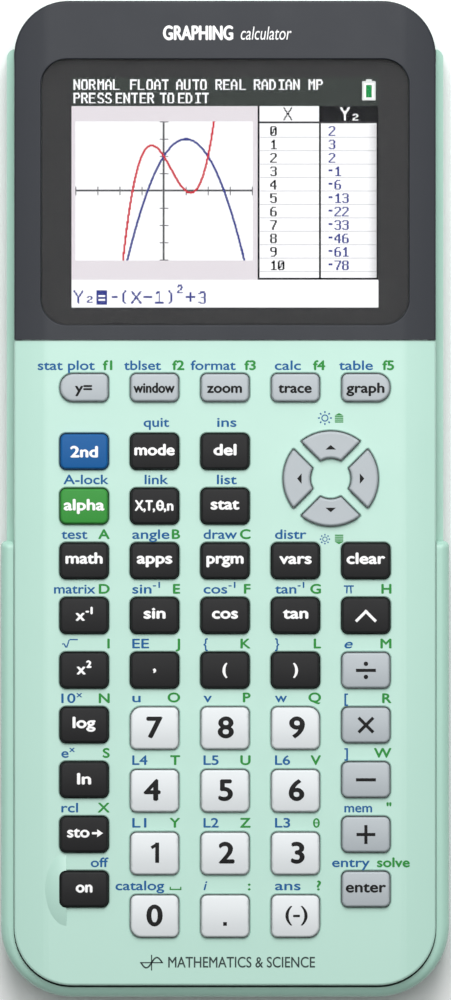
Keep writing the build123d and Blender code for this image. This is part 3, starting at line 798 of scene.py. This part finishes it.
def frame_piece(name, outer, half, level, material):
    """A flat ring between an outline and a rectangle inside it."""
    inner = np.clip(outer, screen_centre - half, screen_centre + half)
    count = len(outer)
    points = np.column_stack([np.vstack([outer, inner]), np.full(2 * count, level)])
    here = np.arange(count)
    following = (here + 1) % count
    faces = np.column_stack([here, following, following + count, here + count])
    mesh = bpy.data.meshes.new(name)
    mesh.from_pydata(points.tolist(), [], faces.tolist())
    welder = bmesh.new()
    welder.from_mesh(mesh)
    bmesh.ops.remove_doubles(welder, verts=welder.verts[:], dist=0.001 * MM)
    welder.to_mesh(mesh)
    welder.free()
    return keep(mesh, name, "calculator", material)


frame_ink = Finish("lens_border_ink", specular_ior_level=0.1)
frame_ink.vary(base_color=frame_ink.mix(frame_ink.noise(12 * MM), srgb(40, 40, 41), srgb(43, 43, 44)))
frame_ink.vary(roughness=frame_ink.noise(3 * MM) * 0.1 + 0.35)
# painted shade: the outline grown past the lens darkens the gap round it
lens_outline = rounded_outline(lens_low[:2] - BORDER_SHADE_REACH, lens_high[:2] + BORDER_SHADE_REACH, BORDER_CORNER)
border_level = lens_low[2] - BORDER_SUNK
frame_piece("lens_border", lens_outline, screen_half, border_level, frame_ink.material)
print("lit area", (2 * screen_half / MM).round(1), "mm")

# %% [markdown]
# The picture is drawn the way the display draws it: into an array of 240 rows by 320 columns of colour.
# Bars and panels are slices of the array. Words use a small typeface of 7 by 10 dots, each letter a
# string of rows, where `*3` repeats a row. Curves colour every dot that lies within a dot of the line.

# %% The picture on the display
TYPEFACE = {
    "A": "..###.. .##.##. ##...##*3 ####### ##...##*4",
    "D": "#####.. ##..##. ##...##*6 ##..##. #####..",
    "E": "####### ##.....*3 ######. ##.....*4 #######",
    "F": "####### ##.....*3 ######. ##.....*5",
    "I": ".###### ...##..*8 .######",
    "L": "##.....*9 #######",
    "M": "##...## ###.### ####### ##.#.##*2 ##...##*5",
    "N": "##...## ###..##*2 ####.## ##.#.## ##.#### ##..###*2 ##...##*2",
    "O": ".#####. ##...##*8 .#####.",
    "P": "######. ##...##*3 ######. ##.....*5",
    "R": "######. ##...##*3 ######. ##.##.. ##..##.*2 ##...##*2",
    "S": ".#####. ##...## ##.....*2 .####.. ...###. .....##*2 ##...## .#####.",
    "T": "####### ...##..*9",
    "U": "##...##*9 .#####.",
    "X": "##...##*2 .##.##. ..###..*3 .##.##.*2 ##...##*2",
    "Y": "##...##*3 .##.##. ..###.. ..##...*5",
    "0": ".#####. ##...## ##..### ##.#### ##.#.##*2 ####.## ###..## ##...## .#####.",
    "1": "...##.. ..###.. .####.. ...##..*6 .######",
    "2": ".#####. ##...## .....##*2 ....##. ...##.. ..##... .##.... ##..... #######",
    "3": ".#####. ##...## .....##*2 ..####. .....##*3 ##...## .#####.",
    "4": "....##. ...###. ..####. .##.##. ##..##.*2 ####### ....##.*3",
    "5": "####### ##.....*2 ######. ##...## .....##*3 ##...## .#####.",
    "6": "..####. .##.... ##.....*2 ######. ##...##*4 .#####.",
    "7": "####### .....##*2 ....##.*2 ...##..*2 ..##...*3",
    "8": ".#####. ##...##*3 .#####. ##...##*4 .#####.",
    "9": ".#####. ##...##*3 .###### .....##*3 ....##. .####..",
    "(": "....##. ...##.. ..##...*6 ...##.. ....##.",
    ")": ".##.... ..##... ...##..*6 ..##... .##....",
    "small 2": ".####. ##..## ....## ...##. .##... ##.... ######",
}
display = np.zeros((ROWS, COLUMNS, 3))
dot_y, dot_x = np.mgrid[0:ROWS, 0:COLUMNS] + 0.5
LETTER_PITCH = 8.25


def glyph(letter):
    """A letter's dots as an array of true and false, 10 rows by 7."""
    rows = []
    for part in TYPEFACE[letter].split():
        pattern, _, times = part.partition("*")
        rows += [[dot == "#" for dot in pattern]] * int(times or 1)
    return np.array(rows)


def panel(x0, y0, x1, y1, colour):
    """Fills a rectangle, its edges rounded to whole dots."""
    display[round(y0):round(y1), round(x0):round(x1)] = colour


def stamp(letter, x, y, colour, rows=None, columns=None):
    """Draws one letter with its top left dot at x and y, stretched to a number of rows and columns."""
    dots = glyph(letter)
    tall, wide = rows or dots.shape[0], columns or dots.shape[1]
    dots = dots[np.arange(tall) * dots.shape[0] // tall][:, np.arange(wide) * dots.shape[1] // wide]
    display[y:y + tall, x:x + wide][dots] = colour


def segment(x0, y0, x1, y1, colour, half_width=0.9):
    """Draws a straight line: every dot nearer to it than the half width.

    The nearest point of the line is found by projecting each dot on it and holding that to its ends.
    """
    along_x, along_y = x1 - x0, y1 - y0
    share = ((dot_x - x0) * along_x + (dot_y - y0) * along_y) / (along_x**2 + along_y**2)
    share = np.clip(share, 0, 1)
    distance = np.hypot(dot_x - x0 - share * along_x, dot_y - y0 - share * along_y)
    display[distance < half_width] = colour


def say(word, x, y, colour, rows=None):
    """Draws a word from its left end."""
    for place, letter in enumerate(word):
        stamp(letter, round(x + place * LETTER_PITCH), y, colour, rows)


WHITE, BLACK, DARK = (250, 250, 252), (0, 0, 1), (50, 56, 52)
LILAC, LINE, NAVY, RED = (222, 216, 221), (212, 212, 216), (52, 60, 134), (200, 50, 62)
display[:] = WHITE
panel(0, 0, 320, 29.5, DARK)
MODES = (("NORMAL", 2), ("FLOAT", 61), ("AUTO", 109), ("REAL", 150), ("RADIAN", 190), ("MP", 247))
HINT = (("PRESS", 2), ("ENTER", 46), ("TO", 92), ("EDIT", 111))
CELL_RIM, CELL_GREEN = (226, 230, 228), (20, 140, 70)
for level, line in ((2, MODES), (16, HINT)):
    for word, x in line:
        say(word, x, level, WHITE, rows=11)
panel(303, 4, 317, 24, CELL_RIM)
panel(307, 2, 313, 4, CELL_RIM)
panel(305, 6, 315, 22, WHITE)
panel(307, 8, 313, 21, CELL_GREEN)
panel(0, 30, 194, 211, LILAC)
panel(4, 46, 189, 191, WHITE)
print("typeface of", len(TYPEFACE), "signs; display array", display.shape)

# %% [markdown]
# The graph shows two curves, y = -(x - 1)^2 + 3 and y = (x - 1)(x^2 - 2). A dot takes a curve's colour
# if its height differs from the curve's by less than the half width times the steepness term, the
# square root of one plus the slope squared, which keeps the line equally thick where it is steep.

# %% Axes and curves
AXIS_X, AXIS_Y = 96.2, 118.4
UNIT_X, UNIT_Y = 23.0, 18.0
graph_x, graph_y = (dot_x - AXIS_X) / UNIT_X, (AXIS_Y - dot_y) / UNIT_Y
inside = (np.abs(graph_x) < 4.02) & (np.abs(graph_y) < 4.03)
AXIS_GREY = (88, 88, 90)
TICK_REACH = 4.4
off_x, off_y = np.abs(dot_x - AXIS_X), np.abs(dot_y - AXIS_Y)
tick_x = (np.abs(off_x - np.round(off_x / UNIT_X) * UNIT_X) < 0.5) & (off_y < TICK_REACH)
tick_y = (np.abs(off_y - np.round(off_y / UNIT_Y) * UNIT_Y) < 0.5) & (off_x < TICK_REACH)
display[inside & ((off_x < 0.95) | (off_y < 0.95) | tick_x | tick_y)] = AXIS_GREY


def plot(height, slope, colour, half_width=1.1):
    """Colours the dots near a curve; height and slope are arrays in graph units."""
    steep = np.sqrt(1 + (slope * UNIT_Y / UNIT_X) ** 2)
    near = np.abs(graph_y - height) * UNIT_Y < half_width * steep
    display[inside & near] = colour


plot(3 - (graph_x - 1) ** 2, -2 * (graph_x - 1), NAVY)
plot((graph_x - 1) * (graph_x**2 - 2), 3 * graph_x**2 - 2 * graph_x - 2, RED)
print("dots of the curves:", int(np.isin(display[:, :, 0], (NAVY[0], RED[0])).sum()))

# %% [markdown]
# Beside the graph stands a table of x and of the first curve's values, and below it the rule that is
# being edited. The table's numbers are worked out, so they agree with the curve.

# %% The table and the entry line
RULE_GREY = (60, 60, 62)
TABLE_ROWS, TABLE_TOP, TABLE_STEP = 11, 51, 14
panel(194, 30, 196, 211, BLACK)
panel(257.7, 30, 320, 46.5, BLACK)
panel(196.4, 46.5, 320, 48.4, RULE_GREY)
for x_value in range(TABLE_ROWS):
    y_value = 3 - (x_value - 1) ** 2
    top = TABLE_TOP + TABLE_STEP * x_value
    panel(196.4, top + 11.3, 318, top + 12.3, LINE)
    say(str(x_value), 207, top, BLACK)
    right = 268
    if y_value < 0:
        panel(right, top + 3, right + 4, top + 4.6, NAVY)
        right += 6
    say(str(abs(y_value)), right, top, NAVY)
# painted shade: the table's last columns darken towards the right edge, a shadow painted into the
# picture
shade = np.linspace(1, 0.82, 11)[None, :, None]
display[49:211, 308:319] *= shade
panel(258, 48.4, 260, 211, BLACK)
panel(318, 30, 320, 211, BLACK)
panel(194, 209, 320, 211, BLACK)
segment(221.5, 32, 229.5, 44, BLACK, 0.75)
segment(229.5, 32, 221.5, 44, BLACK, 0.75)
segment(281, 32, 285, 38, WHITE, 1.0)
segment(289, 32, 285, 38, WHITE, 1.0)
segment(285, 38, 285, 44, WHITE, 1.0)
stamp("small 2", 293, 38, WHITE)

panel(0, 211.3, 320, 240, WHITE)
segment(3, 223, 7.3, 229.5, NAVY)
segment(11.6, 223, 7.3, 229.5, NAVY)
segment(7.3, 229.5, 7.3, 235, NAVY)
stamp("small 2", 16, 228, NAVY)
panel(26, 222, 37, 237, NAVY)
for level in (227, 231):
    panel(28, level, 35, level + 2, WHITE)
panel(42.5, 228, 48.4, 230, NAVY)
stamp("(", 51, 222, NAVY, rows=14)
segment(63, 223.5, 72, 235, NAVY)
segment(72, 223.5, 63, 235, NAVY)
panel(75, 228.5, 84, 230.4, NAVY)
segment(88.5, 225, 91.5, 223.5, NAVY)
segment(91.5, 223.5, 91.5, 235, NAVY)
segment(88, 235, 95, 235, NAVY)
stamp(")", 100, 222, NAVY, rows=14)
stamp("small 2", 110, 216, NAVY, rows=9)
panel(119, 228.5, 129, 230.4, NAVY)
panel(123, 224.5, 125, 234.5, NAVY)
stamp("3", 132, 223, NAVY, rows=13, columns=8)
print("share of dots that are white:", round(float((display > 249).all(axis=2).mean()), 3))

# %% [markdown]
# The array becomes a flat mesh without an image: every stretch of equal dots in a row is one rectangle.
# Where the colour changes along a row, a stretch starts, so starts and ends come from one comparison
# of the array with itself moved by a dot. Each rectangle's corners carry its colour, and the material
# shines with it.

# %% The lit display
changes = np.any(display[:, 1:] != display[:, :-1], axis=2)
edges = np.pad(changes, ((0, 0), (1, 1)), constant_values=True)
edge_rows, edge_columns = np.nonzero(edges)
is_start = edge_columns < COLUMNS
first = edge_columns[is_start]
last = edge_columns[np.nonzero(is_start)[0] + 1]
row = edge_rows[is_start]
corners_x = np.column_stack([first, last, last, first]) * PIXEL - screen_half[0] + screen_centre[0]
corners_y = screen_half[1] - np.column_stack([row + 1, row + 1, row, row]) * PIXEL + screen_centre[1]
screen_z = np.full(corners_x.size, panel_top + PICTURE_LIFT)
screen_points = np.column_stack([corners_x.ravel(), corners_y.ravel(), screen_z])
screen_mesh = bpy.data.meshes.new("display_picture")
screen_faces = np.arange(len(screen_points)).reshape(-1, 4)
screen_mesh.from_pydata(screen_points.tolist(), [], screen_faces.tolist())
shown = display[row, first] / 255
shown = np.where(shown <= 0.04045, shown / 12.92, ((shown + 0.055) / 1.055) ** 2.4)
corner_colours = np.repeat(np.column_stack([shown, np.ones(len(shown))]), 4, axis=0)
colour_layer = screen_mesh.color_attributes.new("shown", "FLOAT_COLOR", "CORNER")
colour_layer.data.foreach_set("color", corner_colours.ravel())

unlit = (0.004, 0.004, 0.005, 1)
glow = Finish("display_glow", base_color=unlit, specular_ior_level=0.0, emission_strength=1.22)
lit = glow.add("VertexColor", {"layer_name": "shown"}, out="Color")
glow.vary(emission_color=lit)
keep(screen_mesh, "display_picture", "calculator", glow.material)
print("display drawn with", len(screen_faces), "rectangles")

# %% [markdown]
# The stage is a pale floor under two soft lamps. One leans in from the display end, so keys cast a faint
# shadow towards the foot; one hangs above and gives the plastic its sheen. The surroundings fill the
# shadows in: their brightness is a dot product of the direction with an arrow, so it grows upwards and
# towards the display end. The camera looks straight down from far away through a long lens, which
# keeps the sides from leaning.

# %% Floor, light and camera
scene = bpy.context.scene
floor_mesh = bpy.data.meshes.new("floor")
floor_z = cad_low[2] - 0.2 * MM
FLOOR_HALF = 1.5
square = np.array([(-1, -1), (1, -1), (1, 1), (-1, 1)]) * FLOOR_HALF
floor_points = [(x, y, floor_z) for x, y in square]
floor_mesh.from_pydata(floor_points, [], [(0, 1, 2, 3)])
floor = bpy.data.objects.new("floor", floor_mesh)
scene.collection.objects.link(floor)
floor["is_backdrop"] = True
paper = Finish("pale_floor")
paper.vary(base_color=paper.mix(paper.noise(0.2), srgb(250, 250, 250), srgb(248, 248, 248)))
paper.vary(roughness=paper.noise(0.05) * 0.1 + 0.8)
floor_mesh.materials.append(paper.material)


def softbox(name, size, energy, place, turn):
    """A round soft lamp that the camera does not see."""
    lamp = bpy.data.lights.new(name, "AREA")
    lamp.shape = "DISK"
    lamp.size = size
    lamp.energy = energy
    holder = bpy.data.objects.new(name, lamp)
    holder.location = place
    holder.rotation_euler = turn
    holder.visible_camera = False
    scene.collection.objects.link(holder)
    holder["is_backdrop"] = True


softbox("softbox_display_end", 0.4, 2.7, (0.015, 0.4, 0.5), (-0.67, 0, 0))
softbox("softbox_above", 0.3, 0.83, (0.0, 0.06, 0.55), (0, 0, 0))

SKY_ARROW = (0, 0.38, 0.52)
SKY_LEAST = 0.04
world = bpy.data.worlds.new("studio")
world.use_nodes = True
sky = world.node_tree
direction = sky.nodes.new("ShaderNodeTexCoord")
tilt = sky.nodes.new("ShaderNodeVectorMath")
tilt.operation = "DOT_PRODUCT"
tilt.inputs[1].default_value = SKY_ARROW
strength = sky.nodes.new("ShaderNodeMath")
strength.operation = "ADD"
strength.use_clamp = True
strength.inputs[1].default_value = SKY_LEAST
sky.links.new(direction.outputs["Generated"], tilt.inputs[0])
sky.links.new(tilt.outputs["Value"], strength.inputs[0])
sky.links.new(strength.outputs[0], sky.nodes["Background"].inputs["Strength"])
sky.nodes["Background"].inputs["Color"].default_value = (1, 1, 1, 1)
scene.world = world
scene.view_settings.view_transform = "Standard"

CAMERA_ABOVE = 3.178                # metres from the face
camera = bpy.data.cameras.new("camera")
camera.lens = 600
camera.clip_end = 20
camera_object = bpy.data.objects.new("camera", camera)
camera_object.location = (0.095 * MM, -0.18 * MM, FACE_Z + CAMERA_ABOVE)
scene.collection.objects.link(camera_object)
scene.camera = camera_object
print("camera", CAMERA_ABOVE, "m above the face with a", camera.lens, "mm lens")
